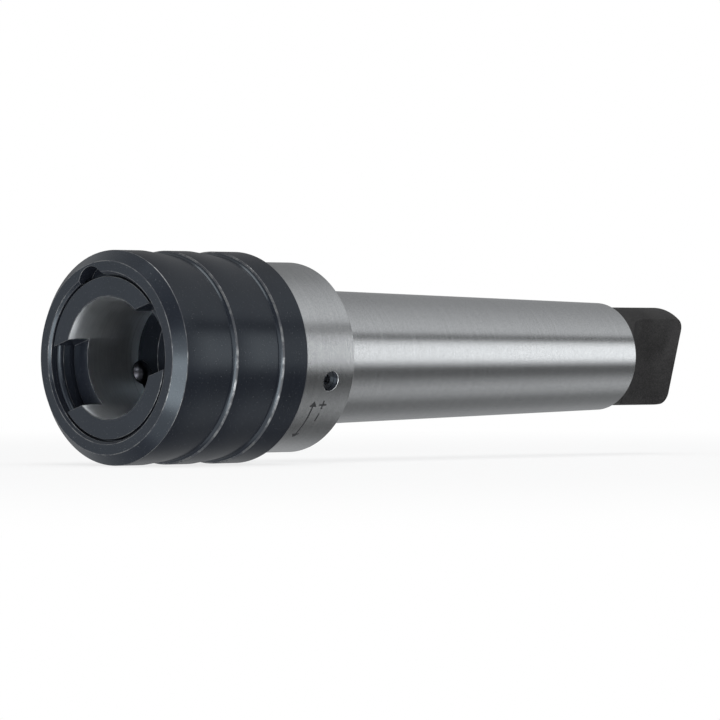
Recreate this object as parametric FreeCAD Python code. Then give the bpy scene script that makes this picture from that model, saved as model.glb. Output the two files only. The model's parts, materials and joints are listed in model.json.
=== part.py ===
import FreeCAD, Part
import math
import os

# Tapping head: a quick-change tapping chuck with axial float on a taper shank, in millimetres.
# The axis is X. The origin is the centre of the taper's gauge plane, the nose points to -X, the
# tang to +X. A clock angle is 0 at +Z and grows clockwise, seen from the nose.

V = FreeCAD.Vector

# Taper shank, a size 3 self-holding taper with a tang
GAUGE_DIA = 23.825
TAPER_RATE = 1 / 19.922
COLLAR_TO_GAUGE = 5.0
GAUGE_TO_TAPER_END = 75.9
TAPER_END_BREAK = 0.15
TANG_LENGTH = 18.1
TANG_DIA = 18.4
TANG_THICKNESS = 7.9
TANG_FLAT_LENGTH = 11.0
TANG_CUTTER_R = 7.0
TANG_END_R = 2.0
TANG_CLOCK = 105.0
CENTRE_HOLE_DIA = 3.2
CENTRE_HOLE_DEPTH = 4.0

# Collar between the taper and the sleeve
COLLAR_LENGTH = 15.2
COLLAR_WALL = 0.95
COLLAR_EDGE = 0.3

# Float: how far the spindle moves out of the shank and into it
FLOAT_OUT = 7.5
FLOAT_IN = 4.0
FLOAT_END_GAP = 0.2

# Floating spindle
SPINDLE_STANDOUT = 28.0
SPINDLE_HEAD_LENGTH = 28.2
SPINDLE_EDGE = 0.2
SOCKET_DIA = 20.0
SOCKET_DEPTH = 21.5
SOCKET_LAND = 13.4
SOCKET_EASE = 0.3
SOCKET_EASE_LENGTH = 2.1
UNDERCUT = 0.6
MOUTH_CHAMFER_RADIAL = 0.5
MOUTH_CHAMFER_LENGTH = 1.2
DRIVE_SLOT_WIDTH = 11.7
DRIVE_SLOT_DEPTH = 4.4
DRIVE_SLOT_CLOCK = 73.0
NOSE_FLANGE = 1.0
TAIL_DIA = 15.0
TAIL_LENGTH = 41.8
TAIL_HOLLOW_DIA = 9.6
TAIL_WEB = 4.0

# Locking balls that hold the tap adapter in the socket
LOCK_BALL_COUNT = 3
LOCK_BALL_FIRST_CLOCK = -105.0
LOCK_BALL_STATION = 17.3
LOCK_BALL_BITE = 0.95
LOCK_BALL_STANDOFF = 0.15
LOCK_BALL_CLEAR = 0.05
LOCK_BALL_BACKING = 0.07

# Release sleeve
SLEEVE_DIA = 36.82
SLEEVE_LENGTH = 30.5
SLEEVE_SKIRT_WALL = 1.56
SLEEVE_PROUD = 0.5
SLEEVE_TRAVEL = 4.0
SLEEVE_CHAMFER = 1.85
SLEEVE_REAR_EDGE = 0.3
SLEEVE_RUNNING_GAP = 0.07
LIP_GAP = 0.4
LIP_EDGE = 0.45
LIP_LENGTH = 1.55
GUIDE_LENGTH = 6.85
BALL_POCKET_GAP = 0.35
BALL_RAMP_SLOPE = 0.45
BALL_LAND_LEAD = 0.2
BALL_LAND_LENGTH = 1.3
SKIRT_GAP = 0.15
GRIP_FIRST = 7.3
GRIP_PITCH = 11.0
GRIP_COUNT = 2
GRIP_RAMP = 5.35
GRIP_DEPTH = 0.66
GRIP_ROOT = 0.25
GRIP_WALL = 0.75
GRIP_HOLLOW = 0.125
PRY_POCKET_DIA = 6.3
PRY_POCKET_INSET = 1.3
PRY_POCKET_CLOCK = -16.5

# Snap ring that keeps the sleeve on the spindle
SNAP_WIRE_DIA = 1.3
SNAP_FIT = 0.05
SNAP_BITE = 0.35
SNAP_RELIEF_GAP = 0.1
SNAP_RING_GAP = 5.0

# Sleeve spring and its seat on the spindle
SLEEVE_SPRING_WIRE = 1.0
SLEEVE_SPRING_GAP = 0.3
SLEEVE_SPRING_TURNS = 2.5
SEAT_WASHER_THICKNESS = 0.7
SEAT_WASHER_WIDTH = 1.5
SEAT_RING_SECTION = 1.1
SEAT_END_LAND = 1.0
SEAT_FIT = 0.05
SEAT_BORE_GAP = 0.3

# Guide bush, its circlip and the grease seal
BUSH_WALL = 2.95
BUSH_LENGTH = 8.6
TAIL_RUNNING_GAP = 0.05
CIRCLIP_THICKNESS = 0.8
CIRCLIP_SIDE_GAP = 0.05
CIRCLIP_SETBACK = 0.2
CIRCLIP_BITE = 0.65
CIRCLIP_WIDTH = 1.3
CIRCLIP_GAP_ANGLE = 36.0
CIRCLIP_EAR_DIA = 2.4
CIRCLIP_EAR_HOLE_DIA = 1.0
SEAL_SECTION = 1.1
SEAL_SETBACK = 1.4
SEAL_FIT = 0.03

# Drag adjustment: a socket set screw in the collar that bears on a brass pad
ADJUST_CLOCK = 104.3
ADJUST_FROM_COLLAR = 5.65
ADJUST_HOLE_DIA = 3.5
ADJUST_FIT = 0.05
ADJUST_SCREW_LENGTH = 4.6
ADJUST_SCREW_SUNK = 1.1
ADJUST_HEX = 1.7
ADJUST_HEX_DEPTH = 2.0
ADJUST_POINT = 0.5
PAD_LIFT = 0.3
PAD_JOINT_GAP = 0.03

# Torque balls between the spindle's tail and the shank's bore
TORQUE_BALL_DIA = 3.0
TORQUE_BALL_CLEAR = 0.05
TORQUE_GROOVE_COUNT = 3
TORQUE_BALLS_PER_GROOVE = 2
TORQUE_BALL_PITCH = 7.0
TORQUE_BALL_BEHIND_BUSH = 8.5
TORQUE_GROOVE_CLOCK = 45.0
TORQUE_GROOVE_SPARE = 1.0

# Float springs, washers and the bolt that limits them
BORE_LENGTH = 70.0
THRUST_WASHER_THICKNESS = 1.2
THRUST_WASHER_HOLE_DIA = 6.0
WASHER_RIM_GAP = 0.25
COMPRESSION_WIRE = 1.8
COMPRESSION_MEAN_DIA = 11.2
COMPRESSION_TURNS = 9
BOLT_DIA = 5.0
BOLT_HEAD_DIA = 8.5
BOLT_HEAD_HEIGHT = 5.0
BOLT_HEX = 4.0
BOLT_HEX_DEPTH = 2.5
BOLT_GRIP = 10.0
BOLT_THREAD_FIT = 0.03
BOLT_TIP_GAP = 2.0
BOLT_EDGE = 0.4
WEB_HOLE_GAP = 0.2
TENSION_SPRING_LENGTH = 17.0
TENSION_WIRE = 1.1
TENSION_MEAN_DIA = 7.3
TENSION_TURNS = 7
TENSION_WASHER_THICKNESS = 1.0
TENSION_WASHER_RIM_GAP = 0.3

# How far a cutter runs past the face that it opens
CUT_SPARE = 1.0

# Stations along the axis
collar_back = -COLLAR_TO_GAUGE
collar_front = collar_back - COLLAR_LENGTH
nose = collar_front - SPINDLE_STANDOUT
taper_end = GAUGE_TO_TAPER_END
tang_end = taper_end + TANG_LENGTH
head_end = nose + SPINDLE_HEAD_LENGTH
tail_end = head_end + TAIL_LENGTH
socket_floor = nose + SOCKET_DEPTH
land_end = nose + MOUTH_CHAMFER_LENGTH + SOCKET_LAND
ease_end = land_end + SOCKET_EASE_LENGTH
hollow_end = tail_end - TAIL_WEB
sleeve_front = nose - SLEEVE_PROUD
sleeve_back = sleeve_front + SLEEVE_LENGTH
snap_front = sleeve_front + LIP_LENGTH
snap_back = snap_front + SNAP_WIRE_DIA + 2 * SNAP_FIT
guide_end = snap_back + GUIDE_LENGTH
ball_station = nose + LOCK_BALL_STATION
ball_land = ball_station + BALL_LAND_LEAD
skirt_front = ball_land + BALL_LAND_LENGTH
relief_end = snap_back + SLEEVE_TRAVEL + SNAP_FIT
seat_groove_back = head_end - SEAT_END_LAND
seat_groove_front = seat_groove_back - SEAT_RING_SECTION - SEAT_FIT
washer_back = seat_groove_front
washer_front = washer_back - SEAT_WASHER_THICKNESS
counterbore_floor = head_end + FLOAT_IN + FLOAT_END_GAP
circlip_front = counterbore_floor + CIRCLIP_SETBACK
circlip_back = circlip_front + CIRCLIP_THICKNESS
bush_front = circlip_back + CIRCLIP_SIDE_GAP
bush_back = bush_front + BUSH_LENGTH
adjust_station = collar_back - ADJUST_FROM_COLLAR
bore_end = collar_front + BORE_LENGTH
spring_front = tail_end + THRUST_WASHER_THICKNESS
bolt_seat = hollow_end - TENSION_SPRING_LENGTH - TENSION_WASHER_THICKNESS
bolt_end = bore_end + BOLT_GRIP

# Radii
sleeve_r = SLEEVE_DIA / 2
skirt_r = sleeve_r - SLEEVE_SKIRT_WALL
collar_r = skirt_r - SKIRT_GAP
counterbore_r = collar_r - COLLAR_WALL
washer_out_r = counterbore_r - SEAT_BORE_GAP
washer_in_r = washer_out_r - SEAT_WASHER_WIDTH
spindle_r = washer_in_r - SEAT_FIT
gauge_r = GAUGE_DIA / 2
tang_r = TANG_DIA / 2
socket_r = SOCKET_DIA / 2
ease_r = socket_r + SOCKET_EASE
undercut_r = socket_r + UNDERCUT
tail_r = TAIL_DIA / 2
bore_r = tail_r + TAIL_RUNNING_GAP
hollow_r = TAIL_HOLLOW_DIA / 2
bush_r = bore_r + BUSH_WALL
lock_ball_in = socket_r - LOCK_BALL_BITE
lock_ball_out = spindle_r + LOCK_BALL_STANDOFF
lock_ball_r = (lock_ball_out - lock_ball_in) / 2
lock_ball_at = (lock_ball_out + lock_ball_in) / 2
lock_ball_travel = LOCK_BALL_BITE + LOCK_BALL_CLEAR
lip_r = spindle_r + LIP_GAP
guide_r = spindle_r + SLEEVE_RUNNING_GAP
ball_land_r = lock_ball_out + LOCK_BALL_BACKING
ball_pocket_r = lock_ball_out + lock_ball_travel + BALL_POCKET_GAP
pry_pocket_at = lip_r - PRY_POCKET_INSET
snap_in_r = spindle_r - SNAP_BITE
snap_out_r = snap_in_r + SNAP_WIRE_DIA
relief_r = snap_in_r - SNAP_RELIEF_GAP
sleeve_spring_r = spindle_r + SLEEVE_SPRING_GAP + SLEEVE_SPRING_WIRE / 2
adjust_hole_r = ADJUST_HOLE_DIA / 2
adjust_screw_r = adjust_hole_r - ADJUST_FIT
screw_out = collar_r - ADJUST_SCREW_SUNK
screw_in = screw_out - ADJUST_SCREW_LENGTH
torque_ball_r = TORQUE_BALL_DIA / 2
torque_groove_r = torque_ball_r + TORQUE_BALL_CLEAR
torque_ring_r = tail_r + TAIL_RUNNING_GAP / 2
bolt_r = BOLT_DIA / 2


def radial(clock):
    """Unit vector that points away from the axis at a clock angle."""
    a = math.radians(clock)
    return V(0, -math.sin(a), math.cos(a))


def at(x, r=0.0, clock=0.0):
    """Point at a station, a radius and a clock angle."""
    return V(x, 0, 0) + radial(clock) * r


def line(a, b):
    """Straight edge of a profile between two (station, radius) points."""
    return Part.makeLine(V(a[0], 0, a[1]), V(b[0], 0, b[1]))


def arc(a, through, b):
    """Arc edge of a profile through three (station, radius) points."""
    return Part.Arc(*[V(p[0], 0, p[1]) for p in (a, through, b)]).toShape()


def turn_edges(edges):
    """Solid turned about the axis from a closed ring of profile edges."""
    face = Part.Face(Part.Wire(Part.__sortEdges__(edges)))
    return face.revolve(V(0, 0, 0), V(1, 0, 0), 360)


def turn(points):
    """Solid turned about the axis from (station, radius) corners."""
    return turn_edges([line(a, b) for a, b in zip(points, points[1:] + points[:1])])


def tube(x0, x1, r_in, r_out):
    """Plain ring between two stations."""
    return turn([(x0, r_in), (x1, r_in), (x1, r_out), (x0, r_out)])


def rod(x0, x1, r):
    """Plain round bar on the axis."""
    return Part.makeCylinder(r, x1 - x0, V(x0, 0, 0), V(1, 0, 0))


def radial_rod(x, clock, r0, r1, r):
    """Round bar of radius r that points away from the axis, from radius r0 to r1."""
    return Part.makeCylinder(r, r1 - r0, at(x, r0, clock), radial(clock))


def hexagon(width, start, direction, depth):
    """Hexagonal prism, width across flats, along direction."""
    side = direction.cross(V(1, 0, 0))
    if side.Length < 0.5:
        side = V(0, 1, 0)
    side.normalize()
    corner = width / math.sqrt(3)
    turnings = [FreeCAD.Rotation(direction, 60 * i) for i in range(6)]
    points = [start + t.multVec(side) * corner for t in turnings]
    return Part.Face(Part.makePolygon(points + points[:1])).extrude(direction * depth)


def coil(x0, x1, mean_r, wire, turns):
    """Compression spring of square wire between two seats, its ends ground flat on them."""
    helix = Part.makeHelix((x1 - x0) / turns, x1 - x0, mean_r)
    half = wire / 2
    corners = [V(mean_r + i * half, 0, j * half) for i, j in ((-1, -1), (1, -1), (1, 1), (-1, 1))]
    section = Part.makePolygon(corners + corners[:1])
    spring = Part.Wire(helix).makePipeShell([section], True, True)
    spring.rotate(V(0, 0, 0), V(0, 1, 0), 90)
    spring.translate(V(x0, 0, 0))
    spring = Part.Solid(spring) if spring.ShapeType == "Shell" else spring
    return spring.common(rod(x0, x1, mean_r + wire))


def split_ring(x, mean_r, wire, clock, gap):
    """Round-wire ring with a gap at a clock angle."""
    half = math.degrees(gap / 2 / mean_r)
    start = clock + half
    circle = Part.makeCircle(wire / 2, at(x, mean_r, start), V(1, 0, 0).cross(radial(start)))
    return Part.Face(Part.Wire(circle)).revolve(V(0, 0, 0), V(1, 0, 0), 360 - 2 * half)


def split_band(x0, x1, r_in, r_out, clock, gap):
    """Flat ring with a gap at a clock angle."""
    half = math.degrees(gap / (r_in + r_out))
    points = [at(x, r, clock + half) for x, r in ((x0, r_in), (x1, r_in), (x1, r_out), (x0, r_out))]
    section = Part.Face(Part.makePolygon(points + points[:1]))
    return section.revolve(V(0, 0, 0), V(1, 0, 0), 360 - 2 * half)


def taper_r(x):
    """Radius of the shank's taper at a station."""
    return gauge_r - x * TAPER_RATE / 2


def make_shank_outside():
    """Collar, taper and round tang in one turned blank."""
    far = (tang_end, 0)
    corner = TANG_END_R * (1 - math.sqrt(0.5))
    shoulder = (taper_end, tang_r)
    rim = (tang_end - TANG_END_R, tang_r)
    rim_mid = (tang_end - corner, tang_r - corner)
    rim_end = (tang_end, tang_r - TANG_END_R)
    outline = [
        (collar_front, 0),
        (collar_front, collar_r - COLLAR_EDGE),
        (collar_front + COLLAR_EDGE, collar_r),
        (collar_back - COLLAR_EDGE, collar_r),
        (collar_back, collar_r - COLLAR_EDGE),
        (collar_back, taper_r(collar_back)),
        (taper_end - TAPER_END_BREAK, taper_r(taper_end - TAPER_END_BREAK)),
        (taper_end, taper_r(taper_end) - TAPER_END_BREAK),
        shoulder,
        rim,
    ]
    edges = [line(a, b) for a, b in zip(outline, outline[1:])]
    edges += [arc(rim, rim_mid, rim_end), line(rim_end, far), line(far, outline[0])]
    return turn_edges(edges)


def make_tang_cutter(side):
    """What the milling cutter takes off one side of the tang, with its run-out radius."""
    normal = radial(TANG_CLOCK) * side
    across = V(1, 0, 0).cross(normal)
    start = tang_end - TANG_FLAT_LENGTH
    half = TANG_THICKNESS / 2
    reach = tang_r + TANG_CUTTER_R
    centre = V(start, 0, 0) + normal * (half + TANG_CUTTER_R) - across * reach
    wheel = Part.makeCylinder(TANG_CUTTER_R, 2 * reach, centre, across)
    past = tang_end + CUT_SPARE
    corners = [(start, half), (past, half), (past, reach), (start, reach)]
    points = [V(x, 0, 0) + normal * n - across * reach for x, n in corners]
    block = Part.Face(Part.makePolygon(points + points[:1])).extrude(across * (2 * reach))
    return wheel.fuse(block)


def make_centre_hole():
    """Sixty degree centre in the tang's end."""
    r = CENTRE_HOLE_DIA / 2
    cone = r * math.sqrt(3)
    pilot = r / 2
    past = tang_end + CUT_SPARE
    return turn([
        (past, 0),
        (past, r + CUT_SPARE / math.sqrt(3)),
        (tang_end - cone / 2, pilot),
        (tang_end - CENTRE_HOLE_DEPTH, pilot),
        (tang_end - CENTRE_HOLE_DEPTH, 0),
    ])


def torque_groove(front, back, clock):
    """Long round-ended groove that torque balls roll in."""
    a, b = at(front, torque_ring_r, clock), at(back, torque_ring_r, clock)
    bar = Part.makeCylinder(torque_groove_r, back - front, a, V(1, 0, 0))
    ends = [Part.makeSphere(torque_groove_r, p) for p in (a, b)]
    return bar.fuse(ends)


def torque_clocks():
    step = 360 / TORQUE_GROOVE_COUNT
    return [TORQUE_GROOVE_CLOCK + i * step for i in range(TORQUE_GROOVE_COUNT)]


def torque_ball_stations():
    first = bush_back + TORQUE_BALL_BEHIND_BUSH
    return [first + i * TORQUE_BALL_PITCH for i in range(TORQUE_BALLS_PER_GROOVE)]


def make_shank_body():
    """Shank with the collar, the spindle's guide bore, its ball grooves and the bolt's hole."""
    body = make_shank_outside()
    body = body.cut([make_tang_cutter(1), make_tang_cutter(-1), make_centre_hole()])
    groove_in = circlip_front - CIRCLIP_SIDE_GAP
    clip_r = bush_r + CIRCLIP_BITE
    body = body.cut(turn([
        (collar_front - CUT_SPARE, 0),
        (collar_front - CUT_SPARE, counterbore_r),
        (counterbore_floor, counterbore_r),
        (counterbore_floor, bush_r),
        (groove_in, bush_r),
        (groove_in, clip_r),
        (bush_front, clip_r),
        (bush_front, bush_r),
        (bush_back, bush_r),
        (bush_back, bore_r),
        (bore_end, bore_r),
        (bore_end, bolt_r + BOLT_THREAD_FIT),
        (bolt_end + BOLT_TIP_GAP, bolt_r + BOLT_THREAD_FIT),
        (bolt_end + BOLT_TIP_GAP + bolt_r / math.sqrt(3), 0),
    ]))
    stations = torque_ball_stations()
    reach_front = FLOAT_OUT / 2 + TORQUE_GROOVE_SPARE
    reach_back = FLOAT_IN / 2 + TORQUE_GROOVE_SPARE
    grooves = [
        torque_groove(stations[0] - reach_front, stations[-1] + reach_back, c) for c in torque_clocks()
    ]
    hole_in, hole_out = bush_r - CUT_SPARE, collar_r + CUT_SPARE
    hole = radial_rod(adjust_station, ADJUST_CLOCK, hole_in, hole_out, adjust_hole_r)
    return body.cut(grooves + [hole])


def make_guide_bush():
    """Bronze bush that carries the spindle's tail, with the seal's groove and the pad's hole."""
    seal_front = bush_front + SEAL_SETBACK - SEAL_SECTION / 2 - SEAL_FIT
    seal_back = seal_front + SEAL_SECTION + 2 * SEAL_FIT
    seal_r = tail_r + SEAL_SECTION + 2 * SEAL_FIT
    bush = turn([
        (bush_front, bore_r),
        (seal_front, bore_r),
        (seal_front, seal_r),
        (seal_back, seal_r),
        (seal_back, bore_r),
        (bush_back, bore_r),
        (bush_back, bush_r),
        (bush_front, bush_r),
    ])
    return bush.cut(radial_rod(adjust_station, ADJUST_CLOCK, 0, collar_r, adjust_hole_r))


def make_grease_seal():
    """Square rubber ring in the bush, round the spindle's tail."""
    front = bush_front + SEAL_SETBACK - SEAL_SECTION / 2
    return tube(front, front + SEAL_SECTION, tail_r + SEAL_FIT, tail_r + SEAL_FIT + SEAL_SECTION)


def make_bush_circlip():
    """Internal circlip with two eared ends."""
    out_r = bush_r + CIRCLIP_BITE - CIRCLIP_SIDE_GAP
    in_r = out_r - CIRCLIP_WIDTH
    ear_r = in_r - CIRCLIP_EAR_DIA / 2 + CIRCLIP_WIDTH / 2
    half = CIRCLIP_GAP_ANGLE / 2
    step = V(CIRCLIP_THICKNESS, 0, 0)
    corners = [at(circlip_front, out_r * 2, a) for a in (-half, half)]
    wedge = Part.Face(Part.makePolygon([at(circlip_front)] + corners + [at(circlip_front)]))
    clip = tube(circlip_front, circlip_back, in_r, out_r).cut(wedge.extrude(step))
    ear_half = half + math.degrees(CIRCLIP_EAR_DIA / 2 / ear_r)
    for clock in (-ear_half, ear_half):
        centre = at(circlip_front, ear_r, clock)
        ear = Part.makeCylinder(CIRCLIP_EAR_DIA / 2, CIRCLIP_THICKNESS, centre, step)
        hole = Part.makeCylinder(CIRCLIP_EAR_HOLE_DIA / 2, CIRCLIP_THICKNESS, centre, step)
        clip = clip.fuse(ear).cut(hole)
    return clip.removeSplitter()


def make_adjusting_screw():
    """Socket set screw with a coned point, sunk in the collar's hole."""
    out = radial(ADJUST_CLOCK)
    body = radial_rod(adjust_station, ADJUST_CLOCK, screw_in + ADJUST_POINT, screw_out, adjust_screw_r)
    tip = at(adjust_station, screw_in, ADJUST_CLOCK)
    point = Part.makeCone(adjust_screw_r - ADJUST_POINT, adjust_screw_r, ADJUST_POINT, tip, out)
    socket = hexagon(ADJUST_HEX, at(adjust_station, screw_out, ADJUST_CLOCK), -out, ADJUST_HEX_DEPTH)
    return body.fuse(point).removeSplitter().cut(socket)


def make_friction_pad():
    """Brass slug between the set screw and the spindle's tail."""
    return radial_rod(
        adjust_station, ADJUST_CLOCK, tail_r + PAD_LIFT, screw_in - PAD_JOINT_GAP, adjust_screw_r
    )


def make_drive_slot():
    """Bar that cuts both drive slots across the spindle's nose."""
    u = radial(DRIVE_SLOT_CLOCK)
    v = V(1, 0, 0).cross(u)
    corner = at(nose - CUT_SPARE) - u * (2 * spindle_r) - v * (DRIVE_SLOT_WIDTH / 2)
    points = [corner, corner + v * DRIVE_SLOT_WIDTH]
    points += [points[1] + u * (4 * spindle_r), corner + u * (4 * spindle_r)]
    face = Part.Face(Part.makePolygon(points + points[:1]))
    return face.extrude(V(DRIVE_SLOT_DEPTH + CUT_SPARE, 0, 0))


def ball_clocks():
    step = 360 / LOCK_BALL_COUNT
    return [LOCK_BALL_FIRST_CLOCK + i * step for i in range(LOCK_BALL_COUNT)]


def make_ball_hole(clock):
    """Ball-nosed radial hole, open to the socket but too narrow there for the ball to fall in."""
    r = lock_ball_r + LOCK_BALL_CLEAR
    centre_r = lock_ball_at - LOCK_BALL_CLEAR
    seat = Part.makeSphere(r, at(ball_station, centre_r, clock))
    return seat.fuse(radial_rod(ball_station, clock, centre_r, spindle_r + CUT_SPARE, r))


def make_float_spindle():
    """Spindle: slotted nose, adapter socket, ring grooves and a hollow tail with ball grooves."""
    spindle = turn([
        (nose, socket_r + MOUTH_CHAMFER_RADIAL),
        (nose, spindle_r - SPINDLE_EDGE),
        (nose + SPINDLE_EDGE, spindle_r),
        (nose + NOSE_FLANGE, spindle_r),
        (nose + NOSE_FLANGE, relief_r),
        (relief_end, relief_r),
        (relief_end, spindle_r),
        (seat_groove_front, spindle_r),
        (seat_groove_front, spindle_r - SEAT_RING_SECTION / 2 - SEAT_FIT),
        (seat_groove_back, spindle_r - SEAT_RING_SECTION / 2 - SEAT_FIT),
        (seat_groove_back, spindle_r),
        (head_end - SPINDLE_EDGE, spindle_r),
        (head_end, spindle_r - SPINDLE_EDGE),
        (head_end, tail_r),
        (tail_end, tail_r),
        (tail_end, bolt_r + WEB_HOLE_GAP),
        (hollow_end, bolt_r + WEB_HOLE_GAP),
        (hollow_end, hollow_r),
        (socket_floor, hollow_r),
        (socket_floor, undercut_r),
        (ease_end, undercut_r),
        (ease_end, ease_r),
        (land_end, ease_r),
        (land_end, socket_r),
        (nose + MOUTH_CHAMFER_LENGTH, socket_r),
    ])
    stations = torque_ball_stations()
    reach_front = FLOAT_IN / 2 + TORQUE_GROOVE_SPARE
    reach_back = FLOAT_OUT / 2 + TORQUE_GROOVE_SPARE
    grooves = [
        torque_groove(stations[0] - reach_front, stations[-1] + reach_back, c) for c in torque_clocks()
    ]
    return spindle.cut([make_drive_slot()] + [make_ball_hole(c) for c in ball_clocks()] + grooves)


def make_locking_ball(clock):
    return Part.makeSphere(lock_ball_r, at(ball_station, lock_ball_at, clock))


def make_torque_balls():
    """Balls that carry the torque while the spindle floats, two in each groove."""
    places = [at(x, torque_ring_r, c) for c in torque_clocks() for x in torque_ball_stations()]
    return Part.makeCompound([Part.makeSphere(torque_ball_r, p) for p in places])


def grip_edges():
    """Outside of the sleeve: saw-tooth grip grooves with a hollow front-facing wall."""
    edges = []
    here = (sleeve_front + SLEEVE_CHAMFER, sleeve_r)
    for i in range(GRIP_COUNT):
        start = (sleeve_front + GRIP_FIRST + i * GRIP_PITCH, sleeve_r)
        root_r = sleeve_r - GRIP_DEPTH
        foot = (start[0] + GRIP_RAMP, root_r)
        heel = (foot[0] + GRIP_ROOT, root_r)
        top = (heel[0] + GRIP_WALL, sleeve_r)
        mid_x = (heel[0] + top[0]) / 2 + GRIP_WALL * GRIP_HOLLOW
        mid_r = (root_r + sleeve_r) / 2 - GRIP_DEPTH * GRIP_HOLLOW
        middle = (mid_x, mid_r)
        edges += [line(here, start), line(start, foot), line(foot, heel), arc(heel, middle, top)]
        here = top
    return edges + [line(here, (sleeve_back - SLEEVE_REAR_EDGE, sleeve_r))]


def make_release_sleeve():
    """Sleeve: grip outside; ring groove, guide bore, ball pocket, ball land and skirt inside."""
    ramp_front = ball_land - (ball_pocket_r - ball_land_r) / BALL_RAMP_SLOPE
    ring_r = snap_out_r + SNAP_FIT
    inside = [
        (sleeve_back - SLEEVE_REAR_EDGE, sleeve_r),
        (sleeve_back, sleeve_r - SLEEVE_REAR_EDGE),
        (sleeve_back, skirt_r + SLEEVE_REAR_EDGE),
        (sleeve_back - SLEEVE_REAR_EDGE, skirt_r),
        (skirt_front, skirt_r),
        (skirt_front, ball_land_r),
        (ball_land, ball_land_r),
        (ramp_front, ball_pocket_r),
        (guide_end, ball_pocket_r),
        (guide_end, guide_r),
        (snap_back, guide_r),
        (snap_back, ring_r),
        (snap_front, ring_r),
        (snap_front, lip_r),
        (sleeve_front + LIP_EDGE, lip_r),
        (sleeve_front, lip_r + LIP_EDGE),
        (sleeve_front, sleeve_r - SLEEVE_CHAMFER),
        (sleeve_front + SLEEVE_CHAMFER, sleeve_r),
    ]
    edges = grip_edges() + [line(a, b) for a, b in zip(inside, inside[1:])]
    middle = at(sleeve_front - CUT_SPARE, pry_pocket_at, PRY_POCKET_CLOCK)
    depth = snap_back - sleeve_front + CUT_SPARE
    pocket = Part.makeCylinder(PRY_POCKET_DIA / 2, depth, middle, V(1, 0, 0))
    return turn_edges(edges).cut(pocket)


def make_sleeve_snap_ring():
    middle = (snap_in_r + snap_out_r) / 2
    return split_ring(
        snap_front + SNAP_FIT + SNAP_WIRE_DIA / 2, middle, SNAP_WIRE_DIA, PRY_POCKET_CLOCK, SNAP_RING_GAP
    )


def make_spring_seat_washer():
    return tube(washer_front, washer_back, washer_in_r, washer_out_r)


def make_spring_seat_ring():
    """Flat ring, half in the spindle's groove, that backs the seat washer."""
    back = seat_groove_front + SEAT_RING_SECTION
    half = SEAT_RING_SECTION / 2
    return split_band(
        seat_groove_front, back, spindle_r - half, spindle_r + half, PRY_POCKET_CLOCK, SNAP_RING_GAP
    )


def make_sleeve_spring():
    return coil(skirt_front, washer_front, sleeve_spring_r, SLEEVE_SPRING_WIRE, SLEEVE_SPRING_TURNS)


def make_thrust_washer():
    return tube(tail_end, spring_front, THRUST_WASHER_HOLE_DIA / 2, bore_r - WASHER_RIM_GAP)


def make_compression_spring():
    return coil(spring_front, bore_end, COMPRESSION_MEAN_DIA / 2, COMPRESSION_WIRE, COMPRESSION_TURNS)


def make_tension_spring():
    front = bolt_seat + TENSION_WASHER_THICKNESS
    return coil(front, hollow_end, TENSION_MEAN_DIA / 2, TENSION_WIRE, TENSION_TURNS)


def make_tension_washer():
    back = bolt_seat + TENSION_WASHER_THICKNESS
    return tube(bolt_seat, back, bolt_r + WEB_HOLE_GAP, hollow_r - TENSION_WASHER_RIM_GAP)


def make_tension_bolt():
    """Socket-head bolt, screwed into the shank behind the spring bore."""
    head_r = BOLT_HEAD_DIA / 2
    front = bolt_seat - BOLT_HEAD_HEIGHT
    bolt = turn([
        (front, 0),
        (front, head_r - BOLT_EDGE),
        (front + BOLT_EDGE, head_r),
        (bolt_seat, head_r),
        (bolt_seat, bolt_r),
        (bolt_end - BOLT_EDGE, bolt_r),
        (bolt_end, bolt_r - BOLT_EDGE),
        (bolt_end, 0),
    ])
    return bolt.cut(hexagon(BOLT_HEX, at(front), V(1, 0, 0), BOLT_HEX_DEPTH))


def all_parts():
    parts = {
        "shank_body": make_shank_body(),
        "guide_bush": make_guide_bush(),
        "bush_circlip": make_bush_circlip(),
        "grease_seal": make_grease_seal(),
        "adjusting_screw": make_adjusting_screw(),
        "friction_pad": make_friction_pad(),
        "float_spindle": make_float_spindle(),
        "spring_seat_washer": make_spring_seat_washer(),
        "spring_seat_ring": make_spring_seat_ring(),
        "sleeve_spring": make_sleeve_spring(),
        "sleeve_snap_ring": make_sleeve_snap_ring(),
        "release_sleeve": make_release_sleeve(),
        "torque_balls": make_torque_balls(),
        "thrust_washer": make_thrust_washer(),
        "compression_spring": make_compression_spring(),
        "tension_spring": make_tension_spring(),
        "tension_washer": make_tension_washer(),
        "tension_bolt": make_tension_bolt(),
    }
    for i, clock in enumerate(ball_clocks(), 1):
        parts[f"locking_ball_{i}"] = make_locking_ball(clock)
    return parts


os.makedirs("parts", exist_ok=True)
for name, shape in all_parts().items():
    shape.exportStep(f"parts/{name}.step")
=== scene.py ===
"""Looks of the tapping head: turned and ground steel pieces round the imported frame, all in metres."""
import json
import math
import bmesh
import bpy
from bpy.props import FloatProperty, FloatVectorProperty, IntProperty, PointerProperty
from bpy.types import Operator, Panel, PropertyGroup
from mathutils import Matrix, Vector


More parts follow.
